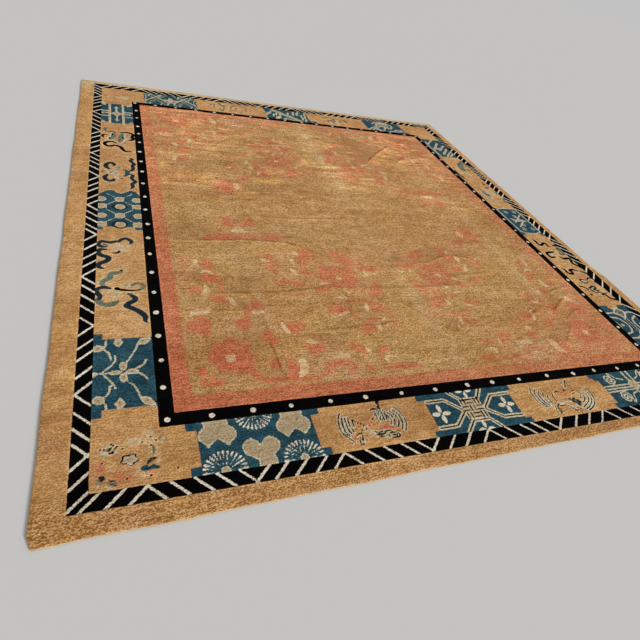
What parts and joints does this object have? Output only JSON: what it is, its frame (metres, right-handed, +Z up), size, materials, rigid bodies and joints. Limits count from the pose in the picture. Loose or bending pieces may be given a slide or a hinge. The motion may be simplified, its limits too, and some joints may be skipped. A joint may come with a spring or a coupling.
{
  "type": "chinese rug",
  "caption": "Flat rectangular hand-knotted wool rug with a plain field, a pearled guard stripe, a panelled border and a striped outer guard.",
  "frame": {"origin": "on the floor, under the middle of the rug's outline", "axes": "+X across the rug to its right edge, +Y along its length to the far edge, +Z up out of the pile"},
  "size_m": [3.355, 3.81, 0.0217],
  "materials": {
    "wool_pile": "short matt wool pile"
  },
  "bodies": {
    "root": {"rug": "wool_pile"}
  },
  "joints": []
}
